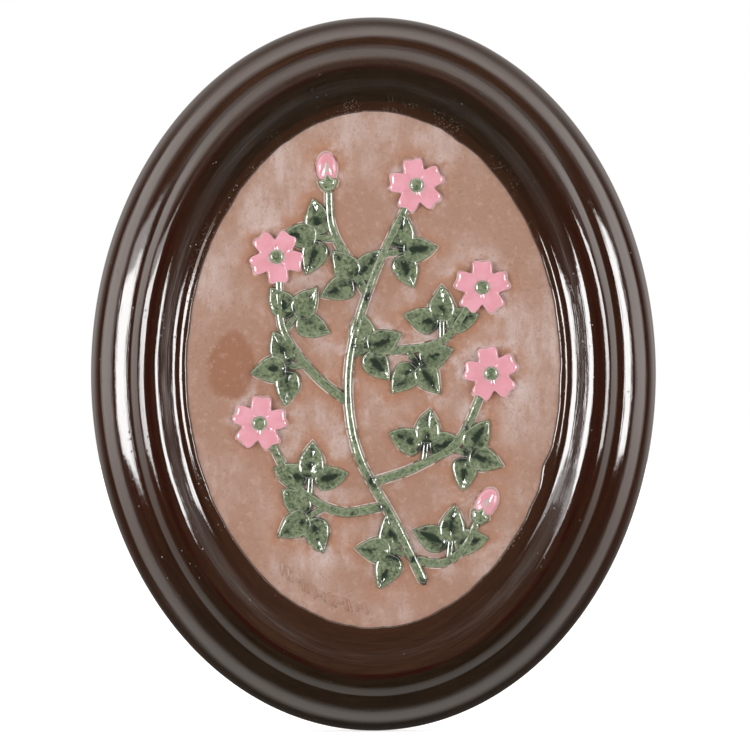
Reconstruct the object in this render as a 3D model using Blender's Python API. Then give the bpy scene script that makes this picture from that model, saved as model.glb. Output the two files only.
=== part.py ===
"""Oval ceramic wall plaque: a moulded frame round a recessed field with a spray of wild
roses in relief. It is one piece of earthenware, pressed in a mould and fired.

Metres, +Z up. The wall is the plane Y = 0 and the plaque stands out from it towards -Y.
The origin is the centre of the flat back. A "rise" is a distance out from the wall, and an
"inset" is a distance inwards from the outer edge of the frame.
"""

import math

import bmesh
import bpy
from mathutils import Matrix, Vector

MM = 0.001

# Outline of the frame, which is a true oval
HEIGHT = 190 * MM
WIDTH = 150.5 * MM
OVAL_STEPS = 56

# Mouldings of the frame, from the outer edge inwards: a roll that ends in a quirk, a brow up to the
# crest, an ogee down from it, and a bead along the edge of the field
ROLL_WIDTH = 10.6 * MM
BROW_WIDTH = 4.9 * MM
OGEE_WIDTH = 7.8 * MM
BEAD_WIDTH = 2.1 * MM
FRAME_WIDTH = ROLL_WIDTH + BROW_WIDTH + OGEE_WIDTH + BEAD_WIDTH
ROLL_TURN = math.radians(82)
ROLL_STEPS = 5
BROW_STEPS = 3
OGEE_STEPS = 5

# The field isn't quite true to the outer oval: it sits a little high, and its ends come in more
FIELD_LIFT = 1.15 * MM
FIELD_END_INSET = 0.8 * MM

# Their rises, from the wall out to the crest, which stands furthest forward
FIELD_RISE = 11.8 * MM
BEAD_HEIGHT = 0.9 * MM
BEAD_BACK = 0.3 * MM
OGEE_HEIGHT = 3.0 * MM
DISH_RISE = FIELD_RISE + BEAD_HEIGHT - BEAD_BACK
FRAME_DEPTH = DISH_RISE + OGEE_HEIGHT
QUIRK_DROP = 2.1 * MM
SIDE_RISE = 2.0 * MM
FOOT_CHAMFER = 1.2 * MM

# Hollow behind the frame, which keeps the fired wall even
FOOT_WIDTH = 6.5 * MM
BACK_RIM = 5.4 * MM
HOLLOW_WIDTH = FRAME_WIDTH - FOOT_WIDTH - BACK_RIM
FRAME_WALL = 8.5 * MM
HOLLOW_DEPTH = FRAME_DEPTH - FRAME_WALL
HOLLOW_DRAFT = 1.2 * MM

# Bar across the hollow at the top, with the hole that goes over a nail
BAR_WIDTH = 24 * MM
BAR_THICKNESS = 3.2 * MM
BAR_RECESS = 0.4 * MM
BAR_BEDDING = 1.6 * MM
BAR_STEPS = 4
NAIL_HOLE = 7.5 * MM
NAIL_HOLE_STEPS = 20

# The relief. Every form starts a little under the field, so that it is one with it. Its levels
# are shares of its length, its width and its rise, from the edge in
SPRAY_MARGIN = 4.0 * MM
BEDDING = 0.8 * MM
STEM_WIDTH = 2.4 * MM
STEM_RISE = 1.4 * MM
SIDE_STEM_RISE = 1.2 * MM
STEM_TAPER = 0.2
STEM_HALF_SECTION = ((0.42, 0.62), (0.17, 1.0))
STEM_STEPS = 8
STALK_WIDTH = 1.7 * MM
STALK_RISE = 1.0 * MM
STALK_LENGTH = 4.2 * MM
LEAF_LENGTH = 9.8 * MM
LEAF_WIDTH = 7.2 * MM
LEAF_RISE = 1.4 * MM
LEAF_OVERLAP_DROP = 0.15 * MM
LEAF_LEVELS = ((0.86, 0.80, 1.00), (0.62, 0.10, 0.55))
LEAF_STEPS = 8
LEAF_LEAN = math.radians(58)
LEAFLET_SPREAD = math.radians(74)
BLOSSOM_RADIUS = 7.6 * MM
BLOSSOM_RISE = 1.7 * MM
BLOSSOM_LEVELS = ((1.0, 1.0, 0.55), (0.9, 0.9, 1.0), (0.4, 0.4, 0.6))
PETAL_GAP = 0.38
PETAL_NOTCH = 0.10
STEM_COVER = 0.7
PETALS = 5
STEPS_PER_PETAL = 6
EYE_RADIUS = 1.9 * MM
EYE_RISE = 1.9 * MM
EYE_LEVELS = ((1.0, 1.0, 0.8), (0.6, 0.6, 1.0))
EYE_STEPS = 8
BUD_LENGTH = 8.0 * MM
BUD_WIDTH = 5.4 * MM
BUD_RISE = 1.8 * MM
BUD_LEVELS = ((1.0, 1.0, 0.5), (0.85, 0.80, 0.9), (0.5, 0.4, 1.0))
CALYX_LENGTH = 4.6 * MM
CALYX_WIDTH = 4.8 * MM
CALYX_RISE = 2.1 * MM
CALYX_LEVELS = ((1.0, 1.0, 0.6), (0.75, 0.75, 1.0))
BUD_STEPS = 8

# The spray's stems. Points are shares of its half width and half height, and "leaves" are
# (share of the way along the stem, side it leans to), with +1 on the left of the way it grows
STEMS = {
    "main": {
        "points": [(0.30, -0.88), (0.12, -0.62), (-0.10, -0.32), (-0.14, 0.02), (0.00, 0.38), (0.20, 0.68)],
        "leaves": [(0.10, 1), (0.62, -1), (0.76, 1), (0.86, -1)],
        "tip": "blossom",
    },
    "left_high": {
        "points": [(-0.13, -0.14), (-0.34, -0.02), (-0.52, 0.16), (-0.55, 0.38)],
        "leaves": [(0.42, 1), (0.66, -1)],
        "tip": "blossom",
    },
    "right_high": {
        "points": [(-0.12, 0.10), (0.14, 0.08), (0.40, 0.12), (0.56, 0.27)],
        "leaves": [(0.40, -1), (0.66, 1)],
        "tip": "blossom",
    },
    "left_low": {
        "points": [(0.06, -0.56), (-0.20, -0.58), (-0.44, -0.48), (-0.60, -0.29)],
        "leaves": [(0.44, 1), (0.56, -1)],
        "tip": "blossom",
    },
    "right_low": {
        "points": [(0.00, -0.46), (0.24, -0.40), (0.49, -0.29), (0.63, -0.09)],
        "leaves": [(0.40, 1), (0.60, -1)],
        "tip": "blossom",
    },
    "crown": {
        "points": [(-0.03, 0.30), (-0.14, 0.44), (-0.24, 0.58), (-0.26, 0.74)],
        "leaves": [(0.56, 1)],
        "tip": "bud",
    },
    "runner": {
        "points": [(0.24, -0.78), (0.40, -0.79), (0.52, -0.73), (0.60, -0.62)],
        "leaves": [(0.42, 1)],
        "tip": "bud",
    },
}

COLOURS = {
    "brown_glaze": (0.030, 0.012, 0.008),
    "terracotta": (0.42, 0.26, 0.18),
    "green_glaze": (0.13, 0.17, 0.11),
    "pink_glaze": (0.80, 0.36, 0.40),
}
ROUGHNESS = {"brown_glaze": 0.12, "terracotta": 0.8, "green_glaze": 0.25, "pink_glaze": 0.25}


def clear_scene():
    for obj in list(bpy.data.objects):
        bpy.data.objects.remove(obj, do_unlink=True)


def material(name):
    """The finish of this name, made once."""
    found = bpy.data.materials.get(name)
    if found:
        return found
    finish = bpy.data.materials.new(name)
    finish.use_nodes = True
    shader = finish.node_tree.nodes["Principled BSDF"]
    shader.inputs["Base Color"].default_value = (*COLOURS[name], 1.0)
    shader.inputs["Roughness"].default_value = ROUGHNESS[name]
    shader.inputs["Metallic"].default_value = 0.0
    return finish


def at_wall(place, rise):
    """The point at this place across and up the wall, and this rise out from it."""
    return Vector((place.x, -rise, place.y))


def turned(way, angle):
    """A direction along the wall, turned to its left by this angle."""
    return Matrix.Rotation(angle, 2) @ way


def ring_solid(name, rings, finish):
    """A closed solid through rings of points: each ring is joined to the next, and both ends are capped."""
    bm = bmesh.new()
    order = bm.verts.layers.int.new("order")
    verts = bmesh.ops.create_circle(bm, segments=len(rings[0]), radius=1.0)["verts"]
    edges = list(bm.edges)
    for count, vert in enumerate(verts):
        vert[order] = count
    for count, ring in enumerate(rings):
        if count:
            grown = bmesh.ops.extrude_edge_only(bm, edges=edges)["geom"]
            verts = [part for part in grown if isinstance(part, bmesh.types.BMVert)]
            edges = [part for part in grown if isinstance(part, bmesh.types.BMEdge) and part.is_boundary]
        for vert in verts:
            vert.co = ring[vert[order]]
    bmesh.ops.holes_fill(bm, edges=[edge for edge in bm.edges if edge.is_boundary])
    bmesh.ops.recalc_face_normals(bm, faces=bm.faces)
    mesh = bpy.data.meshes.new(name)
    bm.to_mesh(mesh)
    bm.free()
    mesh.materials.append(material(finish))
    obj = bpy.data.objects.new(name, mesh)
    bpy.context.scene.collection.objects.link(obj)
    return obj


def oval_place(turn, inset):
    """The place at this turn and inset. Insets run square to the outer oval, but for the field's lift."""
    half_width, half_height = WIDTH / 2, HEIGHT / 2
    outward = Vector((math.cos(turn) / half_width, math.sin(turn) / half_height)).normalized()
    edge = Vector((half_width * math.cos(turn), half_height * math.sin(turn)))
    lift = Vector((0.0, FIELD_LIFT - FIELD_END_INSET * math.sin(turn))) * inset / FRAME_WIDTH
    return edge - outward * inset + lift


def front_section():
    """The frame's face as (inset, rise), from the edge of the field out to the outer side."""
    dish = FRAME_WIDTH - BEAD_WIDTH
    crest = dish - OGEE_WIDTH
    quirk_rise = FRAME_DEPTH - QUIRK_DROP
    points = [(FRAME_WIDTH, FIELD_RISE), (FRAME_WIDTH - BEAD_WIDTH * 0.3, FIELD_RISE + BEAD_HEIGHT)]
    for step in range(OGEE_STEPS + 1):
        share = step / OGEE_STEPS
        rise = DISH_RISE + OGEE_HEIGHT * (1 - math.cos(math.pi * share)) / 2
        points.append((dish - OGEE_WIDTH * share, rise))
    for step in range(1, BROW_STEPS):
        share = step / BROW_STEPS
        points.append((crest - BROW_WIDTH * share, FRAME_DEPTH - QUIRK_DROP * share**2))
    for step in range(ROLL_STEPS + 1):
        angle = ROLL_TURN * (1 - step / ROLL_STEPS)
        inset = ROLL_WIDTH * (1 - math.cos(angle)) / (1 - math.cos(ROLL_TURN))
        rise = SIDE_RISE + (quirk_rise - SIDE_RISE) * math.sin(angle) / math.sin(ROLL_TURN)
        points.append((inset, rise))
    return points


def back_section():
    """The foot and the hollow as (inset, rise), from the outer side in to the edge of the flat back."""
    hollow_end = FOOT_WIDTH + HOLLOW_WIDTH
    return [
        (0.0, FOOT_CHAMFER),
        (FOOT_CHAMFER, 0.0),
        (FOOT_WIDTH, 0.0),
        (FOOT_WIDTH + HOLLOW_DRAFT, HOLLOW_DEPTH * 0.85),
        (FOOT_WIDTH + HOLLOW_DRAFT * 2, HOLLOW_DEPTH),
        (FOOT_WIDTH + HOLLOW_WIDTH * 0.6, HOLLOW_DEPTH),
        (hollow_end - HOLLOW_DRAFT, HOLLOW_DEPTH * 0.62),
        (hollow_end, 0.0),
    ]


def make_body():
    """Frame and field, drawn from the edge of the field over the frame and round to the flat back."""
    turns = [2 * math.pi * step / OVAL_STEPS for step in range(OVAL_STEPS)]
    section = front_section() + back_section()
    rings = [[at_wall(oval_place(turn, inset), rise) for turn in turns] for inset, rise in section]
    body = ring_solid("plaque", rings, "terracotta")
    body.data.materials.append(material("brown_glaze"))
    glazed = len(front_section()) * OVAL_STEPS
    for face in body.data.polygons[:glazed]:
        face.material_index = 1
    return body


def make_bar():
    """The hanging bar, a short arch let into the hollow's two walls at the top of the back."""
    spread = math.asin(BAR_WIDTH / WIDTH)
    turns = [math.pi / 2 + spread * (1 - 2 * step / BAR_STEPS) for step in range(BAR_STEPS + 1)]
    outer = [oval_place(turn, FOOT_WIDTH - BAR_BEDDING) for turn in turns]
    inner = [oval_place(turn, FOOT_WIDTH + HOLLOW_WIDTH + BAR_BEDDING) for turn in reversed(turns)]
    rises = (BAR_RECESS, BAR_RECESS + BAR_THICKNESS)
    rings = [[at_wall(place, rise) for place in outer + inner] for rise in rises]
    return ring_solid("hanging_bar", rings, "terracotta")


def make_nail_hole():
    """The cutter for the nail hole, which goes through the bar into the hollow."""
    centre = oval_place(math.pi / 2, FOOT_WIDTH + HOLLOW_WIDTH / 2)
    outline = [centre + place for place in oval_outline(NAIL_HOLE, NAIL_HOLE, NAIL_HOLE_STEPS)]
    rises = (-BAR_THICKNESS, BAR_RECESS + BAR_THICKNESS * 1.5)
    rings = [[at_wall(place, rise) for place in outline] for rise in rises]
    return ring_solid("nail_hole", rings, "terracotta")


def spray_place(point):
    """A point given in shares of the spray's half width and half height, about the field's centre."""
    half_width = WIDTH / 2 - FRAME_WIDTH - SPRAY_MARGIN
    half_height = HEIGHT / 2 - FRAME_WIDTH - FIELD_END_INSET - SPRAY_MARGIN
    return Vector((point[0] * half_width, point[1] * half_height + FIELD_LIFT))


def smooth_path(points, steps):
    """Points spaced along the smooth curve that passes through all of these."""
    ends = [points[0] * 2 - points[1], *points, points[-1] * 2 - points[-2]]
    path = []
    for step in range(steps + 1):
        along = step / steps * (len(points) - 1)
        span = min(int(along), len(points) - 2)
        t = along - span
        before, start, end, after = ends[span : span + 4]
        bend = (before * 2 - start * 5 + end * 4 - after) * t * t
        twist = (start * 3 - before - end * 3 + after) * t * t * t
        path.append((start * 2 + (end - before) * t + bend + twist) / 2)
    return path


def along_path(path, share):
    """The place at this share of the way along a path, and the way it heads there."""
    where = share * (len(path) - 1)
    step = min(int(where), len(path) - 2)
    return path[step].lerp(path[step + 1], where - step), (path[step + 1] - path[step]).normalized()


def make_stem(name, path, width, rise):
    """A rounded bar laid along a path, a little thinner at its tip."""
    left = [(-0.5, -BEDDING)] + [(-across, rise * share) for across, share in STEM_HALF_SECTION]
    section = left + [(-across, up) for across, up in reversed(left)]
    rings = []
    for count, place in enumerate(path):
        heading = (path[min(count + 1, len(path) - 1)] - path[max(count - 1, 0)]).normalized()
        side = turned(heading, math.pi / 2) * width * (1 - STEM_TAPER * count / (len(path) - 1))
        rings.append([at_wall(place + side * across, FIELD_RISE + up) for across, up in section])
    return ring_solid(name, rings, "green_glaze")


def make_mound(name, centre, heading, outline, rise, levels, finish):
    """A low form on the field. Its outline's points are (ahead, aside) of its centre."""
    left = turned(heading, math.pi / 2)
    rings = []
    for ahead_share, aside_share, rise_share in [(1.0, 1.0, -BEDDING / rise), *levels]:
        length, width = heading * ahead_share, left * aside_share
        places = [centre + length * ahead + width * aside for ahead, aside in outline]
        rings.append([at_wall(place, FIELD_RISE + rise * rise_share) for place in places])
    return ring_solid(name, rings, finish)


def oval_outline(length, width, steps, first=0.0):
    """Points round an oval. The first is this share of a step past its far end."""
    turns = [2 * math.pi * (step + first) / steps for step in range(steps)]
    return [Vector((length / 2 * math.cos(turn), width / 2 * math.sin(turn))) for turn in turns]


def leaf_outline():
    """A pointed leaf, widest a third of the way up from its base."""
    outline = oval_outline(LEAF_LENGTH, LEAF_WIDTH, LEAF_STEPS)
    for place in outline:
        from_tip = max(0.5 - place.x / LEAF_LENGTH, 0.0)
        place.y *= 1.3 * math.sqrt(from_tip)
    return outline


def blossom_outline():
    """Five petals, each with a shallow notch in its edge."""
    outline = oval_outline(BLOSSOM_RADIUS * 2, BLOSSOM_RADIUS * 2, PETALS * STEPS_PER_PETAL)
    for place in outline:
        swing = math.atan2(place.y, place.x) * PETALS / 2
        place *= 1 - PETAL_GAP * abs(math.sin(swing)) ** 6 - PETAL_NOTCH * abs(math.cos(swing)) ** 8
    return outline


def make_leaves(name, stem_place, heading):
    """A stalk with three leaflets at its end. A blade rises from its edge and sinks to the midrib,
    and the end leaflet lies over the two beside it."""
    joint = stem_place + heading * STALK_LENGTH
    make_stem(name + "_stalk", [stem_place, joint + heading * LEAF_WIDTH / 4], STALK_WIDTH, STALK_RISE)
    for count, spread in enumerate((0.0, LEAFLET_SPREAD, -LEAFLET_SPREAD)):
        way = turned(heading, spread)
        centre = joint + way * (STALK_WIDTH + LEAF_LENGTH) / 2
        rise = LEAF_RISE - LEAF_OVERLAP_DROP * count
        make_mound(f"{name}_{count}", centre, way, leaf_outline(), rise, LEAF_LEVELS, "green_glaze")


def make_blossom(name, tip, heading):
    """An open blossom, cupped towards its raised eye, with one petal over the end of the stem."""
    centre = tip + heading * BLOSSOM_RADIUS * STEM_COVER
    make_mound(name, centre, -heading, blossom_outline(), BLOSSOM_RISE, BLOSSOM_LEVELS, "pink_glaze")
    eye = oval_outline(EYE_RADIUS * 2, EYE_RADIUS * 2, EYE_STEPS, 0.5)
    make_mound(name + "_eye", centre, heading, eye, EYE_RISE, EYE_LEVELS, "green_glaze")


def make_bud(name, base, heading):
    """A closed bud standing in its calyx."""
    calyx_centre = base + heading * CALYX_LENGTH / 3
    bud_centre = calyx_centre + heading * BUD_LENGTH / 2
    bud = oval_outline(BUD_LENGTH, BUD_WIDTH, BUD_STEPS)
    calyx = oval_outline(CALYX_LENGTH, CALYX_WIDTH, BUD_STEPS, 0.5)
    make_mound(name, bud_centre, heading, bud, BUD_RISE, BUD_LEVELS, "pink_glaze")
    make_mound(name + "_calyx", calyx_centre, heading, calyx, CALYX_RISE, CALYX_LEVELS, "green_glaze")


def make_spray():
    for name, stem in STEMS.items():
        path = smooth_path([spray_place(point) for point in stem["points"]], STEM_STEPS)
        rise = STEM_RISE if name == "main" else SIDE_STEM_RISE
        make_stem("stem_" + name, path, STEM_WIDTH, rise)
        for count, (share, side) in enumerate(stem["leaves"]):
            place, heading = along_path(path, share)
            make_leaves(f"leaves_{name}_{count}", place, turned(heading, side * LEAF_LEAN))
        tip, heading = along_path(path, 1.0)
        if stem["tip"] == "blossom":
            make_blossom("blossom_" + name, tip, heading)
        else:
            make_bud("bud_" + name, tip, heading)


def cut_or_join(body, operation, parts, name):
    """Joins parts to the body, or cuts them out of it, and leaves them as guides."""
    group = bpy.data.collections.new(name)
    bpy.context.scene.collection.children.link(group)
    for part in parts:
        bpy.context.scene.collection.objects.unlink(part)
        group.objects.link(part)
        part.hide_render = True
        part.display_type = "WIRE"
    change = body.modifiers.new(name, "BOOLEAN")
    change.operation = operation
    change.operand_type = "COLLECTION"
    change.collection = group
    change.solver = "EXACT"
    change.material_mode = "TRANSFER"


def main():
    clear_scene()
    body = make_body()
    bar = make_bar()
    nail_hole = make_nail_hole()
    make_spray()
    relief = [obj for obj in bpy.data.objects if obj not in (body, bar, nail_hole)]
    cut_or_join(body, "UNION", [bar, *relief], "moulded_forms")
    cut_or_join(body, "DIFFERENCE", [nail_hole], "pierced")
    body.data.shade_smooth()
    body.data.set_sharp_from_angle(angle=math.radians(30))


main()
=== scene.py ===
# %% [markdown]
# This lesson dresses an oval ceramic wall plaque. A wide moulded frame in dark brown glaze runs
# round a field of bare clay, and a spray of wild roses in green and pink glaze stands up from the
# field. The solid of the plaque is already packed, so the first step loads it as a fixed frame.
# Every size below is either read from that solid or given as a real size in millimetres.

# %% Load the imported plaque
import math

import bmesh
import bpy
from mathutils import Matrix, Vector, noise
from mathutils.kdtree import KDTree


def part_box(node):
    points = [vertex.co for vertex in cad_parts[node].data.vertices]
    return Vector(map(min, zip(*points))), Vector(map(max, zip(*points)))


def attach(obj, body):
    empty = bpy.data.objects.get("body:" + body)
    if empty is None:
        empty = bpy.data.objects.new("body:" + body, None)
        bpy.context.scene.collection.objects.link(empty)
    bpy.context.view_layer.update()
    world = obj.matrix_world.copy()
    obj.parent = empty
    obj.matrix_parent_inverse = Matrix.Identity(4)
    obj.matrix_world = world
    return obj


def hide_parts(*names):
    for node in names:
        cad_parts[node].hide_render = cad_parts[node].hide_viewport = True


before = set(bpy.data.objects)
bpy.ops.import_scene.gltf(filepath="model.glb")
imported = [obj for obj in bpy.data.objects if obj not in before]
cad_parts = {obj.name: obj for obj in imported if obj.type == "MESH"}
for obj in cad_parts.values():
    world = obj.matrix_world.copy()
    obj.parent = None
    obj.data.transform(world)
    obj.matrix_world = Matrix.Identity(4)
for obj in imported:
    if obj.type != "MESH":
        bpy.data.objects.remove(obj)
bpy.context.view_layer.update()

MM = 0.001
low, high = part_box("plaque")
WIDTH = high.x - low.x
HEIGHT = high.z - low.z
DEPTH = -low.y
print(f"the plaque is {WIDTH / MM:.1f} x {HEIGHT / MM:.1f} mm and {DEPTH / MM:.1f} mm deep")

# %% [markdown]
# A potter makes such a plaque lying on the bench, so the shapes here are modelled flat too: X to
# the right, Y up the oval, Z out of the clay. Each finished shape is stood up against its wall in
# one turn at the end, which leaves its object at the origin. An alternative would be to model
# upright, but then every height would be a negative Y, which is harder to read.

# %% Stand a flat shape up and make it an object
UPRIGHT = Matrix.Rotation(math.radians(90), 3, "X")


def stand_up(name, bm):
    """Makes an object of a shape that was modelled flat on the bench."""
    bmesh.ops.rotate(bm, cent=(0, 0, 0), matrix=UPRIGHT, verts=bm.verts)
    mesh = bpy.data.meshes.new(name)
    bm.to_mesh(mesh)
    open_edges = sum(not edge.is_manifold for edge in bm.edges)
    bm.free()
    mesh.shade_smooth()
    piece = bpy.data.objects.new(name, mesh)
    bpy.context.scene.collection.objects.link(piece)
    print(f"{name}: {len(mesh.polygons)} faces, {open_edges} open edges")
    return piece


# %% [markdown]
# The frame's mouldings run round a true oval at an even distance from its edge, as a turner's
# oval chuck cuts them. Only the field sits a little off: it is higher by about a millimetre and
# its ends come in further. A place on the plaque is therefore given as a turn round the oval and
# a reach out from its middle. Inside the field, the reach shrinks the field's own oval.

# %% Places on the oval
FRAME_WIDTH = 25.4 * MM
FIELD_LIFT = 1.15 * MM
FIELD_END_INSET = 0.8 * MM
FIELD_SWELL = 0.14 * MM
SWELL_SPAN = 14 * MM
FIELD_GRAIN = 0.05 * MM
GRAIN_SPAN = 2.4 * MM
FIELD_REACH = WIDTH / 2 - FRAME_WIDTH
FIELD_CENTRE = Vector((0.0, FIELD_LIFT))


def oval_place(turn, inset):
    """The place at this turn, this far in from the edge of the frame."""
    outward = Vector((math.cos(turn) / WIDTH, math.sin(turn) / HEIGHT)).normalized()
    edge = Vector((WIDTH / 2 * math.cos(turn), HEIGHT / 2 * math.sin(turn)))
    lift = Vector((0.0, FIELD_LIFT - FIELD_END_INSET * math.sin(turn))) * inset / FRAME_WIDTH
    return edge - outward * inset + lift


def place_at(turn, reach):
    """The place at this turn and reach, on the frame or inside the field."""
    if reach >= FIELD_REACH:
        return oval_place(turn, WIDTH / 2 - reach)
    border = oval_place(turn, FRAME_WIDTH)
    return FIELD_CENTRE + (border - FIELD_CENTRE) * reach / FIELD_REACH


def swell_at(place):
    """How far the clay of the field stands above its even height here."""
    spot = Vector((place.x, place.y, 0.0))
    swell = FIELD_SWELL * noise.noise(spot / SWELL_SPAN)
    return swell + FIELD_GRAIN * noise.noise(spot / GRAIN_SPAN)


def bell(distance, spread):
    """1 at no distance, fading to 0 some way beyond the spread."""
    return math.exp(-((distance / spread) ** 2))


print(f"the field is {place_at(0, FIELD_REACH).x * 2 / MM:.1f} mm wide")

# %% [markdown]
# What shows on a glossy moulding is less its height than its tilt, because a lamp is mirrored
# wherever the face leans at the right angle. So the face between the roll and the field is drawn
# by its tilts, and its heights follow by adding up small steps away from the crest. The big outer
# roll is most of a quarter of an oval. Tracing heights point by point would put kinks in the
# reflections, which is why this way was chosen.

# %% The face of the frame
SIDE_RISE = 2.0 * MM
FIELD_RISE = 11.8 * MM
ROLL_WIDTH = 10.6 * MM
ROLL_TURN = math.radians(82)
ROLL_STEPS = 34
CREST_INSET = 15.5 * MM
FACE_STEP = 0.16 * MM
FOOT_TUCK = 0.9 * MM
# The foot below the roll, as shares of the tuck and of the side's rise
FOOT_POINTS = ((0.55, 0.35), (0.12, 0.62))

# Inset in millimetres, and the tilt there in degrees, which is positive where the face looks
# outwards: quirk, brow, crest, ogee, dish, and the fat edge where the glaze ends in a bead
TILTS = (
    (10.6, 50),
    (11.1, 43),
    (11.8, 36),
    (12.4, 31),
    (13.0, 25),
    (14.0, 14),
    (15.5, 0),
    (17.0, -14),
    (17.8, -25),
    (18.4, -29.5),
    (19.9, -31.5),
    (21.4, -29.5),
    (22.0, -25),
    (22.8, -14),
    (23.4, 0),
    (23.85, 14),
    (24.15, 22),
    (24.45, 14),
    (24.8, 0),
    (25.0, -14),
    (25.2, -32),
    (25.35, -55),
    (25.4, -70),
)


# %% Add the slopes up to heights
def tilt_at(inset):
    """The tilt of the face at this inset, read off between the named tilts."""
    for (start, first), (end, last) in zip(TILTS, TILTS[1:]):
        if inset <= end * MM:
            share = (inset / MM - start) / (end - start)
            return math.radians(first + (last - first) * max(share, 0.0))
    return math.radians(TILTS[-1][1])


def face_from_crest(end):
    """(inset, rise) from the crest to this inset, each step tilted as the face is there."""
    steps = math.ceil(abs(end - CREST_INSET) / FACE_STEP)
    step = (end - CREST_INSET) / steps
    points = [(CREST_INSET, DEPTH)]
    for count in range(steps):
        inset, rise = points[-1]
        points.append((inset + step, rise + math.tan(tilt_at(inset + step / 2)) * step))
    return points


def frame_face():
    """The face as (inset, rise), from the foot of the outer side in to the glaze's end."""
    brow = face_from_crest(ROLL_WIDTH)
    quirk_rise = brow[-1][1]
    points = [(FOOT_TUCK * tuck, SIDE_RISE * rise) for tuck, rise in FOOT_POINTS]
    for step in range(ROLL_STEPS):
        angle = ROLL_TURN * step / ROLL_STEPS
        inset = ROLL_WIDTH * (1 - math.cos(angle)) / (1 - math.cos(ROLL_TURN))
        rise = SIDE_RISE + (quirk_rise - SIDE_RISE) * math.sin(angle) / math.sin(ROLL_TURN)
        points.append((inset, rise))
    points += reversed(brow)
    points += face_from_crest(FRAME_WIDTH)[1:]
    return points


face = frame_face()
quirk_depth = DEPTH - face[ROLL_STEPS + len(FOOT_POINTS)][1]
print(f"{len(face)} points on the face; the quirk lies {quirk_depth / MM:.2f} mm down")
print(f"the glaze ends {(face[-1][1] - FIELD_RISE) / MM:.2f} mm above the field")

# %% [markdown]
# A turned moulding is one section swept round, and the spin operator does just that. The section
# is drawn by extruding one vertex from point to point, spun a full turn with its ends merged, and
# each vertex is then moved from the round to the oval. Bevelling a curve would give the same
# form, but without control over where the rings lie.

# %% Spin a section round the plaque
SPOKES = 320
MERGE = 1e-6


def spun(section, closed):
    """A skin spun from a section of (reach, rise) points, still round."""
    bm = bmesh.new()
    first = bm.verts.new((section[0][0], 0.0, section[0][1]))
    end = first
    for reach, rise in section[1:]:
        grown = bmesh.ops.extrude_vert_indiv(bm, verts=[end])
        end = grown["verts"][0]
        end.co = (reach, 0.0, rise)
    if closed:
        bm.edges.new((end, first))
    drawn = [*bm.verts, *bm.edges]
    bmesh.ops.spin(bm, geom=drawn, axis=(0, 0, 1), angle=math.tau, steps=SPOKES, use_merge=True)
    bmesh.ops.remove_doubles(bm, verts=bm.verts, dist=MERGE)
    bmesh.ops.recalc_face_normals(bm, faces=bm.faces)
    return bm


def under(points, depth, every):
    """Every few points of the face, moved this deep into it."""
    moved = []
    for count in range(1, len(points) - 1, every):
        along = Vector(points[count + 1]) - Vector(points[count - 1])
        inwards = Vector((along.y, -along.x)).normalized()
        moved.append(Vector(points[count]) + inwards * depth)
    return moved


# %% [markdown]
# The brown glaze is a skin a few tenths of a millimetre thick. It is modelled as a closed ring
# whose underside lies inside the clay, so that it can have its own finish and a rounded end. By
# hand the mouldings drift: they lie nearer the edge at the top and at the foot, and the brow is
# broader at the top. The glaze also creeps unevenly at the field, with one run at the lower
# right. Small waves in the surface make the lamps' mirror images break up a little, as they do
# on a real glaze.

# %% The glazed frame
GLAZE_UNDERSIDE = 0.9 * MM
UNDERSIDE_EVERY = 7
EDGE_POINTS = 8
EDGE_SINK = 0.5 * MM
DRIFT = 1.85 * MM
DRIFT_HIGH = 0.15 * MM
DRIFT_SIDE = 0.2 * MM
BROW_INSET = 13.0 * MM
BROW_SPREAD = 2.0 * MM
BROW_DRIFT = 0.4 * MM
CREEP_MEAN = 0.35 * MM
CREEP = 0.28 * MM
CREEP_WAVES = 9.0
RUN_TURN = math.radians(-21)
RUN_SPREAD = math.radians(3.0)
RUN_LENGTH = 0.9 * MM
SURFACE_WAVE = 0.02 * MM
WAVE_SPAN = 6 * MM
WAVE_SQUEEZE = 3
SAME_INSET = 1e-3
CREEP_START = 24.2 * MM


def drifted(turn, inset):
    """The inset of a moulding once the potter's drift and the glaze's creep are added."""
    ends = math.sin(turn) ** 2
    drift = (DRIFT + DRIFT_HIGH * math.sin(turn)) * ends + DRIFT_SIDE * math.cos(turn)
    drift *= math.sin(math.pi * inset / FRAME_WIDTH)
    drift -= BROW_DRIFT * max(math.sin(turn), 0.0) * bell(inset - BROW_INSET, BROW_SPREAD)
    if inset <= CREEP_START:
        return inset - drift
    reach = (inset - CREEP_START) / (FRAME_WIDTH - CREEP_START)
    round_place = Vector((math.cos(turn), math.sin(turn), 0.0)) * CREEP_WAVES
    creep = CREEP_MEAN + CREEP * (noise.noise(round_place) + 0.5 * noise.noise(round_place * 3))
    run = RUN_LENGTH * bell(turn - RUN_TURN, RUN_SPREAD)
    return inset - drift + (creep + run) * reach


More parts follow.
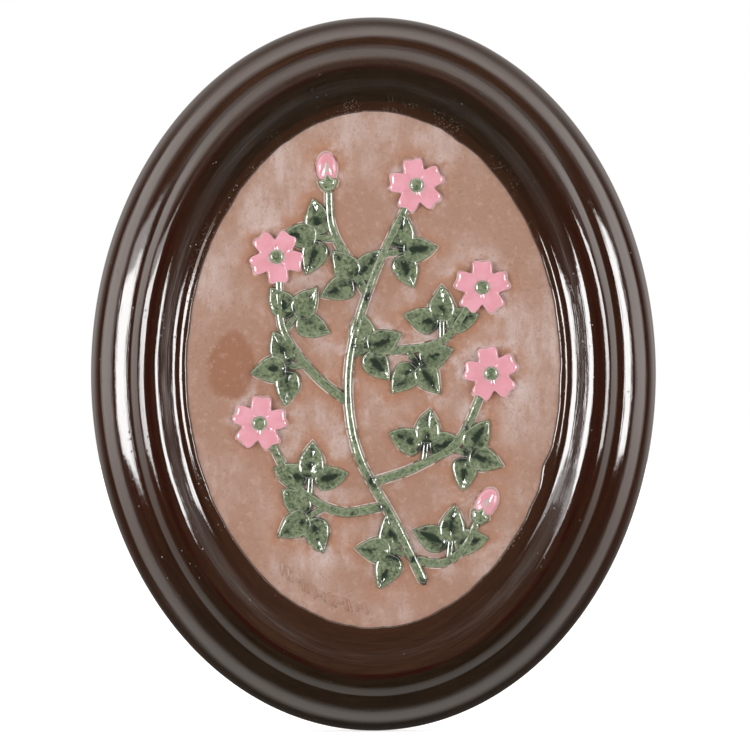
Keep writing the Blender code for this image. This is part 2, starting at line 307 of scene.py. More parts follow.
# %% Spin the glaze and move it to the oval
def make_glazed_frame():
    end_inset, end_rise = face[-1]
    section = [
        *face,
        (end_inset + FACE_STEP / 2, end_rise - EDGE_SINK),
        (end_inset - FACE_STEP, end_rise - EDGE_SINK * 2),
        *reversed(under(face[:-EDGE_POINTS], GLAZE_UNDERSIDE, UNDERSIDE_EVERY)),
    ]
    bm = spun([(WIDTH / 2 - inset, rise) for inset, rise in section], closed=True)
    moulding = bm.verts.layers.float_vector.new("moulding")
    for vert in bm.verts:
        turn = math.atan2(vert.co.y, vert.co.x)
        inset = WIDTH / 2 - vert.co.xy.length
        vert[moulding] = (inset / MM, math.cos(turn), math.sin(turn))
        place = oval_place(turn, drifted(turn, inset))
        ripple = noise.noise(Vector((place.x, place.y, inset * WAVE_SQUEEZE)) / WAVE_SPAN) - 1.0
        vert.co = (place.x, place.y, vert.co.z + SURFACE_WAVE * ripple)
    for edge in bm.edges:
        off_quirk = [abs(vert[moulding].x - ROLL_WIDTH / MM) for vert in edge.verts]
        edge.smooth = max(off_quirk) > SAME_INSET
    return stand_up("glazed_frame", bm)


glazed_frame = make_glazed_frame()

# %% [markdown]
# The spray follows curved stems. Each stem is a smooth curve through a few places, which are
# given as shares of the spray's half width and half height, as on the solid below. A curve
# object could carry them, but the leaves need to know the way the stem heads at each joint, so
# the curve is worked out here.

# %% The spray's stems and where its leaves spring
SPRAY_MARGIN = 4.0 * MM
STEMS = {
    "main": {
        "points": [
            *((0.30, -0.88), (0.12, -0.62), (-0.10, -0.32)),
            *((-0.14, 0.02), (0.00, 0.38), (0.20, 0.68)),
        ],
        "leaves": [(0.10, 1), (0.62, -1), (0.76, 1), (0.86, -1)],
        "tip": "blossom",
    },
    "left_high": {
        "points": [(-0.13, -0.14), (-0.34, -0.02), (-0.52, 0.16), (-0.55, 0.38)],
        "leaves": [(0.42, 1), (0.66, -1)],
        "tip": "blossom",
    },
    "right_high": {
        "points": [(-0.12, 0.10), (0.14, 0.08), (0.40, 0.12), (0.56, 0.27)],
        "leaves": [(0.40, -1), (0.66, 1)],
        "tip": "blossom",
    },
    "left_low": {
        "points": [(0.06, -0.56), (-0.20, -0.58), (-0.44, -0.48), (-0.60, -0.29)],
        "leaves": [(0.44, 1), (0.56, -1)],
        "tip": "blossom",
    },
    "right_low": {
        "points": [(0.00, -0.46), (0.24, -0.40), (0.49, -0.29), (0.63, -0.09)],
        "leaves": [(0.40, 1), (0.60, -1)],
        "tip": "blossom",
    },
    "crown": {
        "points": [(-0.03, 0.30), (-0.14, 0.44), (-0.24, 0.58), (-0.26, 0.74)],
        "leaves": [(0.56, 1)],
        "tip": "bud",
    },
    "runner": {
        "points": [(0.24, -0.78), (0.40, -0.79), (0.52, -0.73), (0.60, -0.62)],
        "leaves": [(0.42, 1)],
        "tip": "bud",
    },
}
# %% Smooth curves through the places of a stem
SPRAY_HALF_WIDTH = WIDTH / 2 - FRAME_WIDTH - SPRAY_MARGIN
SPRAY_HALF_HEIGHT = HEIGHT / 2 - FRAME_WIDTH - FIELD_END_INSET - SPRAY_MARGIN


def spray_place(point):
    return Vector((point[0] * SPRAY_HALF_WIDTH, point[1] * SPRAY_HALF_HEIGHT + FIELD_LIFT))


def smooth_path(points, steps):
    """Places spaced along the smooth curve that passes through all of these."""
    ends = [points[0] * 2 - points[1], *points, points[-1] * 2 - points[-2]]
    path = []
    for step in range(steps + 1):
        along = step / steps * (len(points) - 1)
        span = min(int(along), len(points) - 2)
        t = along - span
        before, start, end, after = ends[span : span + 4]
        bend = (before * 2 - start * 5 + end * 4 - after) * t * t
        twist = (start * 3 - before - end * 3 + after) * t * t * t
        path.append((start * 2 + (end - before) * t + bend + twist) / 2)
    return path


def along_path(path, share):
    """The place at this share of the way along a path, and the way it heads there."""
    where = share * (len(path) - 1)
    step = min(int(where), len(path) - 2)
    return path[step].lerp(path[step + 1], where - step), (path[step + 1] - path[step]).normalized()


def turned(way, angle):
    """A direction, turned to its left by this angle."""
    return Matrix.Rotation(angle, 2) @ way


# %% [markdown]
# Each form of the relief is a stack of rings that grows inwards and upwards from its outline, as
# a modeller would build it up with a finger. The ring starts as a circle and is extruded from
# level to level. Where a last ring closes to a line or a point, its vertices are merged.
# Subdividing a cage would be shorter, but the rings also carry how far in and along they are,
# which the glaze needs.

# %% Grow a form from ring to ring
BEDDING = 0.8 * MM


def new_relief(*values):
    """An empty shape whose points keep their order in a ring, the margin and these values."""
    bm = bmesh.new()
    bm.verts.layers.int.new("order")
    for value in ("margin", *values):
        bm.verts.layers.float.new(value)
    return bm


def grow(bm, rings, looped=False):
    """A closed form through rings of points: both ends are filled or, looped, joined.

    Returns its vertices, ring by ring."""
    order = bm.verts.layers.int["order"]
    verts = bmesh.ops.create_circle(bm, segments=len(rings[0]), radius=1.0)["verts"]
    first_edges = list(dict.fromkeys(edge for vert in verts for edge in vert.link_edges))
    edges = first_edges
    for count, vert in enumerate(verts):
        vert[order] = count
    stack = []
    for level, ring in enumerate(rings):
        if level:
            grown = bmesh.ops.extrude_edge_only(bm, edges=edges)["geom"]
            verts = [part for part in grown if isinstance(part, bmesh.types.BMVert)]
            sides = [part for part in grown if isinstance(part, bmesh.types.BMEdge)]
            edges = [edge for edge in sides if edge.is_boundary]
        for vert in verts:
            vert.co = ring[vert[order]]
        stack.append(verts)
    if looped:
        bmesh.ops.bridge_loops(bm, edges=first_edges + edges)
    else:
        bmesh.ops.holes_fill(bm, edges=first_edges)
        bmesh.ops.holes_fill(bm, edges=edges)
    return stack


# %% [markdown]
# A stem is a rounded bar of clay laid on the field. Its section is a low half round with a thin
# flat margin of slip on either side, and a foot that goes a little under the field. The ends are
# closed by shrinking the last rings. Its width wavers slightly, because it was pressed by hand.

# %% Stems and leaf stalks
STEM_WIDTH = 2.4 * MM
STEM_RISE = 1.4 * MM
SIDE_STEM_RISE = 1.2 * MM
STEM_TAPER = 0.2
STEM_STEPS = 64
STALK_WIDTH = 1.7 * MM
STALK_RISE = 1.0 * MM
STALK_LENGTH = 4.2 * MM
STALK_STEPS = 12
END_ROUND = 1.1 * MM
END_RISE = 0.4
LEAST_END = 0.04
WAVER = 0.07
WAVER_SPAN = 3 * MM
MARGIN = 0.40 * MM
MARGIN_RISE = 0.03 * MM
# Half the section from its foot to its middle: share of the width, share of the rise
STEM_HALF = (
    *((0.50, 0.10), (0.492, 0.42), (0.475, 0.64), (0.447, 0.77), (0.41, 0.845)),
    *((0.32, 0.915), (0.23, 0.965), (0.15, 0.995), (0.07, 1.0), (0.0, 0.985)),
)


def stem_section(width, rise, beside, shape):
    """(across, up) round a bar of this shape, from one margin's foot to the other's."""
    out = width / 2 + beside
    half = [(out, -BEDDING), (out, MARGIN_RISE / 2), (width / 2, MARGIN_RISE)]
    half += [(width * across, rise * up) for across, up in shape]
    return half + [(-across, up) for across, up in reversed(half[:-1])]


def add_stem(bm, path, width, rise, taper=STEM_TAPER, beside=MARGIN, shape=STEM_HALF):
    """Lays one rounded bar along a path, with a thin margin of slip beside its foot."""
    margin = bm.verts.layers.float["margin"]
    lengths = [0.0]
    for start, end in zip(path, path[1:]):
        lengths.append(lengths[-1] + (end - start).length)
    rings = []
    for count, place in enumerate(path):
        heading = (path[min(count + 1, len(path) - 1)] - path[max(count - 1, 0)]).normalized()
        left = turned(heading, math.pi / 2)
        to_end = min(lengths[count], lengths[-1] - lengths[count]) / END_ROUND
        full = math.sqrt(max(1 - (1 - min(to_end, 1.0)) ** 2, LEAST_END))
        waver = 1 + WAVER * noise.noise(Vector((place.x, place.y, 0.0)) / WAVER_SPAN)
        spread = width * (1 - taper * count / (len(path) - 1)) * full * waver
        height = rise * (END_RISE + (1 - END_RISE) * full)
        ring = []
        for across, up in stem_section(spread, height, beside, shape):
            spot = place + left * across
            ring.append(Vector((spot.x, spot.y, FIELD_RISE + up + swell_at(spot))))
        rings.append(ring)
    for verts in grow(bm, rings):
        for vert in (*verts[:2], *verts[-2:]):
            vert[margin] = 1.0


# %% Lay every stem and leaf stalk
paths = {}
for name, stem in STEMS.items():
    paths[name] = smooth_path([spray_place(point) for point in stem["points"]], STEM_STEPS)
POOL_REACH = 1.5 * MM
LEAF_LEAN = math.radians(58)
LEAF_WIDTH = 7.2 * MM


def leaf_joints():
    """(place on the stem, way the stalk heads, place where the leaflets meet) of every leaf."""
    joints = []
    for name, stem in STEMS.items():
        for share, side in stem["leaves"]:
            place, heading = along_path(paths[name], share)
            way = turned(heading, side * LEAF_LEAN)
            joints.append((place, way, place + way * STALK_LENGTH))
    return joints


def make_stems():
    bm = new_relief("hollow")
    hollow = bm.verts.layers.float["hollow"]
    for name, path in paths.items():
        add_stem(bm, path, STEM_WIDTH, STEM_RISE if name == "main" else SIDE_STEM_RISE)
    for place, way, joint in leaf_joints():
        end = joint + way * LEAF_WIDTH / 4
        stalk = [place.lerp(end, step / STALK_STEPS) for step in range(STALK_STEPS + 1)]
        add_stem(bm, stalk, STALK_WIDTH, STALK_RISE, taper=0.1)
    joints = [joint for place, way, joint in leaf_joints()] + [path[0] for path in paths.values()]
    for vert in bm.verts:
        nearest = min((vert.co.xy - joint).length for joint in joints)
        vert[hollow] = bell(nearest, POOL_REACH)
    bmesh.ops.recalc_face_normals(bm, faces=bm.faces)
    return stand_up("rose_stems", bm)


rose_stems = make_stems()

# %% [markdown]
# Leaves come in threes. A leaflet rises steeply from a soft edge and sinks to its midrib, with
# side veins pressed in at a slant. One leaflet is modelled at the origin and its mesh is then
# copied to every place with a matrix, which keeps all of them in one light object. Each point
# keeps a value for the glaze: how deep it lies in the hollow of the midrib and the veins.

# %% One leaflet
LEAF_LENGTH = 9.8 * MM
LEAF_RISE = 1.4 * MM
LEAF_STEPS = 72
LEAF_BELLY = 1.3
MIDRIB_DRAW = 0.38
VEIN_SPACING = 1.45 * MM
VEIN_SLANT = 0.9
VEIN_DEPTH = 0.03 * MM
# Share of the way from the edge to the midrib, and the rise there as a share of the leaf's rise
LEAF_SHOULDER = (
    *((0.0, 0.15), (0.02, 0.42), (0.045, 0.64), (0.075, 0.77), (0.11, 0.85)),
    *((0.17, 0.92), (0.24, 0.98), (0.32, 1.00), (0.42, 0.99), (0.52, 0.96)),
    *((0.64, 0.93), (0.76, 0.90), (0.88, 0.86), (0.95, 0.83), (1.00, 0.81)),
)


def margin_rings(outline, growth):
    """The outer rings of a form: a thin flat margin of slip, standing on a buried foot."""
    levels = (-BEDDING, MARGIN_RISE)
    return [[Vector((*(place * growth), level)) for place in outline] for level in levels]


def mark_margin(bm, stack):
    margin = bm.verts.layers.float["margin"]
    for verts in stack[:2]:
        for vert in verts:
            vert[margin] = 1.0


def oval_ring(length, width, steps):
    turns = [math.tau * step / steps for step in range(steps)]
    return [Vector((length / 2 * math.cos(turn), width / 2 * math.sin(turn))) for turn in turns]


def leaf_outline():
    """A pointed leaf, widest a third of the way up from its base."""
    outline = oval_ring(LEAF_LENGTH, LEAF_WIDTH, LEAF_STEPS)
    for place in outline:
        place.y *= LEAF_BELLY * math.sqrt(max(0.5 - place.x / LEAF_LENGTH, 0.0))
    return outline


def vein_wave(ahead, aside):
    """1 halfway between two side veins, -1 in a vein."""
    return math.cos(math.tau * (ahead - abs(aside) * VEIN_SLANT) / VEIN_SPACING)


# %% Model the leaflet once, as a mesh to copy
def template(name, bm):
    """Keeps a finished shape as a mesh, to be copied to its places."""
    bmesh.ops.remove_doubles(bm, verts=bm.verts, dist=MERGE)
    bmesh.ops.recalc_face_normals(bm, faces=bm.faces)
    mesh = bpy.data.meshes.new(name + "_template")
    bm.to_mesh(mesh)
    bm.free()
    print(f"{name}: {len(mesh.polygons)} faces each")
    return mesh


def leaflet_template():
    bm = new_relief("hollow")
    hollow = bm.verts.layers.float["hollow"]
    outline = leaf_outline()
    rings = margin_rings(outline, 1 + MARGIN * 2 / LEAF_WIDTH)
    for share, rise in LEAF_SHOULDER:
        ring = []
        for place in outline:
            ahead = place.x * (1 - MIDRIB_DRAW * share)
            aside = place.y * (1 - share)
            vein = VEIN_DEPTH * vein_wave(ahead, aside) * min(share * 6, 1.0) * (1 - share**4)
            ring.append(Vector((ahead, aside, LEAF_RISE * rise + vein)))
        rings.append(ring)
    stack = grow(bm, rings)
    mark_margin(bm, stack)
    for verts, (share, rise) in zip(stack[2:], LEAF_SHOULDER):
        for vert in verts:
            vein = 0.35 * max(-vein_wave(vert.co.x, vert.co.y), 0.0) * min(share * 3, 1.0)
            vert[hollow] = max(share**2.5, vein, bell(vert.co.x + LEAF_LENGTH / 2, POOL_REACH))
    return template("leaflet", bm)


leaflet = leaflet_template()

# %% [markdown]
# The copies are not quite alike. Each is turned to its own way, scaled by a few hundredths and
# set a hair lower than the one before it, so that the end leaflet lies over the two beside it.

# %% Copy the leaflet to every joint
LEAFLET_SPREAD = math.radians(74)
LEAF_OVERLAP_DROP = 0.15 * MM
LEAF_GROWTH = 0.08
HAND_SCALE = 3.2 * MM
HAND_WOBBLE = 0.22 * MM
# Where the shifts across, along and out of the clay are read, so that they differ
HAND_READS = [Vector((0.0, 0.0, 7.3 * axis)) for axis in range(3)]


def lay_matrix(centre, heading, drop=0.0, scale=1.0):
    """Takes a template to this place on the field, pointing this way."""
    spot = Matrix.Translation((centre.x, centre.y, FIELD_RISE - drop))
    turn = Matrix.Rotation(math.atan2(heading.y, heading.x), 4, "Z")
    return spot @ turn @ Matrix.Scale(scale, 4)


def add_copy(bm, mesh, matrix):
    before = len(bm.verts)
    bm.from_mesh(mesh)
    bm.verts.ensure_lookup_table()
    added = bm.verts[before:]
    bmesh.ops.transform(bm, matrix=matrix, verts=added)
    for vert in added:
        vert.co.z += swell_at(vert.co)
    return added


def make_leaves():
    bm = new_relief("hollow", "shade")
    shade = bm.verts.layers.float["shade"]
    for place, way, joint in leaf_joints():
        for count, spread in enumerate((0.0, LEAFLET_SPREAD, -LEAFLET_SPREAD)):
            heading = turned(way, spread)
            centre = joint + heading * (STALK_WIDTH + LEAF_LENGTH) / 2
            tone = noise.noise(Vector((centre.x, centre.y, 0.0)) / (9 * MM))
            matrix = lay_matrix(centre, heading, LEAF_OVERLAP_DROP * count, 1 + LEAF_GROWTH * tone)
            for vert in add_copy(bm, leaflet, matrix):
                vert[shade] = tone
                spot = Vector((vert.co.x, vert.co.y, 0.0)) / HAND_SCALE
                vert.co += HAND_WOBBLE * Vector([noise.noise(spot + read) for read in HAND_READS])
    return stand_up("rose_leaves", bm)


rose_leaves = make_leaves()

# %% [markdown]
# A blossom is an open five-petalled rose. Its outline is a circle drawn in sharply between the
# petals and notched a little at their tips. The glaze stands in a fat rounded rim, and the
# petals dip towards the eye with a crease between each two. The eye is a small knob of clay,
# stippled with a pointed tool.

# %% Blossoms and their eyes
BLOSSOM_RADIUS = 7.6 * MM
BLOSSOM_RISE = 1.7 * MM
BLOSSOM_STEPS = 120
PETALS = 5
PETAL_GAP = 0.38
PETAL_NOTCH = 0.10
STEM_COVER = 0.7
CREASE = 0.30 * MM
PLEAT = 0.02 * MM
PLEATS = 6
# Share of the way out from the eye, and the rise there as a share of the petals' rise
PETAL_SHOULDER = (
    *((1.0, 0.22), (0.993, 0.50), (0.98, 0.74), (0.965, 0.84), (0.945, 0.895)),
    *((0.91, 0.95), (0.875, 0.988), (0.82, 1.00), (0.74, 0.98), (0.64, 0.94)),
    *((0.52, 0.89), (0.40, 0.84), (0.26, 0.78), (0.12, 0.74), (0.0, 0.74)),
)
EYE_RADIUS = 1.9 * MM
EYE_RISE = 1.9 * MM
EYE_STEPS = 48
# The eye's rings above its foot, as shares of its radius and of its rise
EYE_LEVELS = (
    *((1.0, 0.6), (0.95, 0.8), (0.8, 0.93), (0.6, 1.0)),
    *((0.4, 0.99), (0.2, 0.97), (0.0, 0.97)),
)
STIPPLE = 0.10 * MM
STIPPLE_SPACING = 0.85 * MM


def petal_outline():
    """Five petals, each with a shallow notch in its edge."""
    outline = oval_ring(BLOSSOM_RADIUS * 2, BLOSSOM_RADIUS * 2, BLOSSOM_STEPS)
    for place in outline:
        swing = math.atan2(place.y, place.x) * PETALS / 2
        place *= 1 - PETAL_GAP * abs(math.sin(swing)) ** 6 - PETAL_NOTCH * abs(math.cos(swing)) ** 8
    return outline


def blossom_template():
    bm = new_relief("rim")
    rim = bm.verts.layers.float["rim"]
    outline = petal_outline()
    rings = margin_rings(outline, 1 + MARGIN / BLOSSOM_RADIUS)
    for share, rise in PETAL_SHOULDER:
        ring = []
        for place in outline:
            turn = math.atan2(place.y, place.x)
            between = abs(math.sin(turn * PETALS / 2)) ** 10
            crease = CREASE * between * math.sin(math.pi * min(share * 1.05, 1.0))
            pleat = PLEAT * math.cos(turn * PETALS * PLEATS) * share
            ring.append(Vector((*(place * share), BLOSSOM_RISE * rise - crease + pleat)))
        rings.append(ring)
    stack = grow(bm, rings)
    mark_margin(bm, stack)
    for verts, (share, rise) in zip(stack[2:], PETAL_SHOULDER):
        for vert in verts:
            vert[rim] = share
    return template("blossom", bm)


# %% The eye, and a blossom at every tip
def eye_template():
    bm = new_relief()
    rings = []
    for share, rise in ((1.0, -BEDDING / EYE_RISE), *EYE_LEVELS):
        ring = []
        for place in oval_ring(EYE_RADIUS * 2 * share, EYE_RADIUS * 2 * share, EYE_STEPS):
            waves = place * math.tau / STIPPLE_SPACING
            stipple = STIPPLE * (1 - math.sin(waves.x) * math.sin(waves.y)) / 2 * (rise > 0)
            ring.append(Vector((*place, EYE_RISE * rise - stipple)))
        rings.append(ring)
    grow(bm, rings)
    return template("eye", bm)


def stem_tips(kind):
    """(place, heading) at the tip of each stem that ends in this kind."""
    return [along_path(paths[name], 1.0) for name, stem in STEMS.items() if stem["tip"] == kind]


def make_blossoms():
    petals, eyes = new_relief("rim"), new_relief()
    blossom, eye = blossom_template(), eye_template()
    for tip, heading in stem_tips("blossom"):
        centre = tip + heading * BLOSSOM_RADIUS * STEM_COVER
        add_copy(petals, blossom, lay_matrix(centre, -heading))
        add_copy(eyes, eye, lay_matrix(centre, heading))
    return stand_up("rose_blossoms", petals), stand_up("blossom_eyes", eyes)


rose_blossoms, blossom_eyes = make_blossoms()

# %% [markdown]
# Two stems end in a bud: a rolled, still closed flower standing in its green cup. The bud is an
# egg form with two furrows where the petals wrap round each other. The cup's outline is drawn
# out into three sepals that lie over the foot of the bud.

# %% Buds and their cups
BUD_LENGTH = 8.0 * MM
BUD_WIDTH = 5.4 * MM
BUD_RISE = 1.8 * MM
BUD_STEPS = 56
FURROW_DEPTH = 0.30 * MM
FURROW_WIDTH = 0.34 * MM
# Each furrow's side, how far out it runs, and how much nearer it comes along the bud
FURROWS = ((1, 0.9 * MM, 2.6 * MM), (-1, 1.1 * MM, 1.2 * MM))
CUP_LENGTH = 4.6 * MM
CUP_WIDTH = 4.8 * MM
CUP_RISE = 2.1 * MM
SEPALS = 3
SEPAL_DRAW = 0.26
SEPAL_FAN = 1.4
CUP_FRONT = 0.8
DOME_SHARES = (1.0, 0.99, 0.96, 0.91, 0.84, 0.74, 0.62, 0.48, 0.32, 0.16, 0.0)


def dome_rise(share):
    """How high a dome stands at this share of the way out, with a steep rounded edge."""
    return 0.25 + 0.75 * (1 - share**2.6) ** 0.5


def bud_template():
    bm = new_relief("rim")
    rim = bm.verts.layers.float["rim"]
    outline = oval_ring(BUD_LENGTH, BUD_WIDTH, BUD_STEPS)
    rings = margin_rings(outline, 1 + MARGIN * 2 / BUD_WIDTH)
    for share in DOME_SHARES:
        ring = []
        for place in outline:
            ahead, aside = place.x * share, place.y * share
            along = ahead / BUD_LENGTH
            gaps = [aside - side * (out - along * nearer) for side, out, nearer in FURROWS]
            furrow = sum(bell(gap, FURROW_WIDTH) for gap in gaps) * (1 - share**3)
            ring.append(Vector((ahead, aside, BUD_RISE * dome_rise(share) - FURROW_DEPTH * furrow)))
        rings.append(ring)
    stack = grow(bm, rings)
    mark_margin(bm, stack)
    for verts, share in zip(stack[2:], DOME_SHARES):
        for vert in verts:
            vert[rim] = share
    return template("bud", bm)


# %% The cup, and a bud at every tip
def cup_template():
    bm = new_relief()
    outline = oval_ring(CUP_LENGTH, CUP_WIDTH, BUD_STEPS)
    for place in outline:
        turn = math.atan2(place.y, place.x)
        front = max(math.cos(turn * CUP_FRONT), 0.0)
        place *= 1 + SEPAL_DRAW * math.cos(turn * SEPALS * SEPAL_FAN) * front
    rings = margin_rings(outline, 1 + MARGIN * 2 / CUP_WIDTH)
    for share in DOME_SHARES:
        rings.append([Vector((*(place * share), CUP_RISE * dome_rise(share))) for place in outline])
    mark_margin(bm, grow(bm, rings))
    return template("cup", bm)


def make_buds():
    buds, cups = new_relief("rim"), new_relief()
    bud, cup = bud_template(), cup_template()
    for base, heading in stem_tips("bud"):
        cup_centre = base + heading * CUP_LENGTH / 3
        add_copy(buds, bud, lay_matrix(cup_centre + heading * BUD_LENGTH / 2, heading))
        add_copy(cups, cup, lay_matrix(cup_centre, heading))
    return stand_up("rose_buds", buds), stand_up("bud_cups", cups)


rose_buds, bud_cups = make_buds()

# %% [markdown]
# Low on the left, a row of plain strokes follows the border: three slanting ones and a short
# dash, over and over. Each is a very low soft ridge, like the burr that a wooden point throws up
# in damp clay. It is made like a stem, with a section of its own, because a groove that is cut
# into the field would need many more rings there.

# %% Strokes in the clay
STROKES = 17
STROKE_INSET = FRAME_WIDTH + 5.2 * MM
STROKE_START = math.radians(233)
STROKE_END = math.radians(267)
STROKE_LENGTH = 3.8 * MM
STROKE_SHORTER = 0.5 * MM
STROKE_BOW = 0.45 * MM
DASH_LENGTH = 1.5 * MM
STROKE_WIDTH = 1.2 * MM
STROKE_RISE = 0.38 * MM
# Half its section, which is a soft mound
STROKE_HALF = ((0.5, 0.05), (0.4, 0.18), (0.3, 0.45), (0.2, 0.76), (0.1, 0.95), (0.0, 1.0))
STROKE_SLANT = math.radians(24)
STROKE_POINTS = 8
STROKE_TAPER = 0.4
STROKE_MARGIN = 0.1 * MM
STROKE_WIPED = 0.7


def make_strokes():
    bm = new_relief("slip", "wiped")
    slip, wiped = bm.verts.layers.float["slip"], bm.verts.layers.float["wiped"]
    for count in range(STROKES):
        turn = STROKE_START + (STROKE_END - STROKE_START) * count / (STROKES - 1)
        outward = (oval_place(turn, FRAME_WIDTH) - FIELD_CENTRE).normalized()
        dash = count % 4 == 3
        way = turned(outward, math.pi / 2 if dash else STROKE_SLANT)
        half = way * (DASH_LENGTH if dash else STROKE_LENGTH - STROKE_SHORTER * (count % 3)) / 2
        middle = oval_place(turn, STROKE_INSET)
        bow = turned(way, math.pi / 2) * STROKE_BOW * math.sin(count * 2.3)
        path = []
        for step in range(STROKE_POINTS + 1):
            share = step / STROKE_POINTS * 2 - 1
            path.append(middle + half * share + bow * (1 - share**2))
        add_stem(bm, path, STROKE_WIDTH, STROKE_RISE, STROKE_TAPER, STROKE_MARGIN, STROKE_HALF)
    for vert in bm.verts:
        vert[slip] = 1.0
        vert[wiped] = STROKE_WIPED * min(max((vert.co.z - FIELD_RISE) / STROKE_RISE, 0.0), 1.0)
    bmesh.ops.recalc_face_normals(bm, faces=bm.faces)
    return stand_up("clay_strokes", bm)


clay_strokes = make_strokes()

# %% [markdown]
# The clay body carries everything: the field in front, the foot and the hollow behind. It is
# spun like the frame, from the middle of the field out under the glaze, round the foot and the
# hollow, and back to the middle of the flat back. The field has enough rings for the clay to
# show how it was pressed. Each point keeps whether it has slip, and how far the potter wiped
# that away, which fades with the distance from the relief.

# %% The clay body
FIELD_RINGS = 84
BACK_RINGS = 6
CLAY_UNDER_GLAZE = 0.35 * MM
CLAY_EVERY = 4
LEDGE_INSET = CREEP_START + 0.4 * MM
LEDGE_WIDTH = 0.3 * MM
FOOT_CHAMFER = 1.2 * MM
FOOT_WIDTH = 6.5 * MM
FOOT_ROUND = 0.4 * MM
BACK_RIM = 5.4 * MM
HOLLOW_END = FRAME_WIDTH - BACK_RIM
HOLLOW_WIDTH = HOLLOW_END - FOOT_WIDTH
FRAME_WALL = 8.5 * MM
HOLLOW_DEPTH = DEPTH - FRAME_WALL
HOLLOW_DRAFT = 1.2 * MM
WIPE_REACH = 3.0 * MM


def back_face():
    """The foot and the hollow as (inset, rise), from the outer side in to the flat back."""
    return [
        (CLAY_UNDER_GLAZE, SIDE_RISE),
        (CLAY_UNDER_GLAZE, FOOT_CHAMFER),
        (FOOT_CHAMFER - FOOT_ROUND, FOOT_ROUND * 0.3),
        (FOOT_CHAMFER + FOOT_ROUND, 0.0),
        (FOOT_WIDTH - FOOT_ROUND, 0.0),
        (FOOT_WIDTH, FOOT_ROUND),
        (FOOT_WIDTH + HOLLOW_DRAFT, HOLLOW_DEPTH * 0.85),
        (FOOT_WIDTH + HOLLOW_DRAFT * 1.4, HOLLOW_DEPTH * 0.96),
        (FOOT_WIDTH + HOLLOW_DRAFT * 2, HOLLOW_DEPTH),
        (FOOT_WIDTH + HOLLOW_WIDTH * 0.6, HOLLOW_DEPTH),
        (HOLLOW_END - HOLLOW_DRAFT * 2, HOLLOW_DEPTH * 0.86),
        (HOLLOW_END - HOLLOW_DRAFT, HOLLOW_DEPTH * 0.62),
        (HOLLOW_END - HOLLOW_DRAFT * 0.2, FOOT_ROUND),
        (HOLLOW_END + FOOT_ROUND, 0.0),
    ]


def clay_section():
    """(reach, rise) from the middle of the field round to the middle of the back."""
    field_end = WIDTH / 2 - LEDGE_INSET
    section = [(field_end * ring / FIELD_RINGS, FIELD_RISE) for ring in range(FIELD_RINGS + 1)]
    for inset, rise in reversed(under(face, CLAY_UNDER_GLAZE, CLAY_EVERY)):
        if inset < LEDGE_INSET - LEDGE_WIDTH and rise > SIDE_RISE:
            section.append((WIDTH / 2 - inset, rise))
    section += [(WIDTH / 2 - inset, rise) for inset, rise in back_face()]
    back_reach = WIDTH / 2 - HOLLOW_END - FOOT_ROUND
    section += [(back_reach * (1 - ring / BACK_RINGS), 0.0) for ring in range(1, BACK_RINGS + 1)]
    return section


# %% Build the body and note where the slip was wiped off
def relief_tree(pieces):
    """Finds the nearest point of the relief."""
    tree = KDTree(sum(len(piece.data.vertices) for piece in pieces))
    for number, place in enumerate(vert.co.xz for piece in pieces for vert in piece.data.vertices):
        tree.insert((place.x, place.y, 0.0), number)
    tree.balance()
    return tree


def make_clay_body(relief):
    tree = relief_tree(relief)
    bm = spun(clay_section(), closed=False)
    wiped = bm.verts.layers.float.new("wiped")
    slip = bm.verts.layers.float.new("slip")
    for vert in bm.verts:
        reach, rise = vert.co.xy.length, vert.co.z
        turn = math.atan2(vert.co.y, vert.co.x)
        in_front = rise > FIELD_RISE - CLAY_UNDER_GLAZE
        inset = WIDTH / 2 - reach
        if rise > SIDE_RISE and inset < CREEP_START:
            place = place_at(turn, WIDTH / 2 - drifted(turn, inset))
        else:
            place = place_at(turn, reach)
        vert.co = (place.x, place.y, rise)
        if in_front and reach < FIELD_REACH + MM:
            vert.co.z += swell_at(place)
            vert[wiped] = bell(tree.find((place.x, place.y, 0.0))[2], WIPE_REACH)
            vert[slip] = 1.0
    return stand_up("clay_body", bm)


clay_body = make_clay_body([rose_stems, rose_leaves, rose_blossoms, rose_buds])

# %% [markdown]
# A short bar bridges the hollow at the top of the back, with a round hole that goes over the
# nail. Its outline and the hole have as many points each, so a ring of points can run from the
# hole's edge over the face to the outline and down the side, and the last ring is bridged to
# the first. Cutting the hole with a Boolean would work too, but leaves untidy faces.

# %% The hanging bar
BAR_WIDTH = 24 * MM
BAR_THICKNESS = 3.2 * MM
BAR_RECESS = 0.4 * MM
BAR_BEDDING = 1.6 * MM
BAR_STEPS = 64
ARC_STEPS = 16
BAR_ROUND = 0.45 * MM
NAIL_HOLE = 7.5 * MM


def bar_outline(middle_turn):
    """Places round the bar: out along the foot of the frame, back along the hollow's end."""
    spread = math.asin(BAR_WIDTH / WIDTH)
    outline = []
    for side, inset in ((1, FOOT_WIDTH - BAR_BEDDING), (-1, HOLLOW_END + BAR_BEDDING)):
        for step in range(ARC_STEPS + 1):
            turn = middle_turn + side * spread * (1 - 2 * step / ARC_STEPS)
            outline.append(oval_place(turn, inset))
    return outline


def ray_to_outline(middle, outline, way):
    """Where a ray from the middle meets the outline."""
    for start, end in zip(outline, outline[1:] + outline[:1]):
        side, gap = end - start, start - middle
        cross = way.x * side.y - way.y * side.x
        if abs(cross) < 1e-12:
            continue
        along = (gap.x * side.y - gap.y * side.x) / cross
        share = (gap.x * way.y - gap.y * way.x) / cross
        if along > 0 and -1e-6 <= share <= 1 + 1e-6:
            return middle + way * along


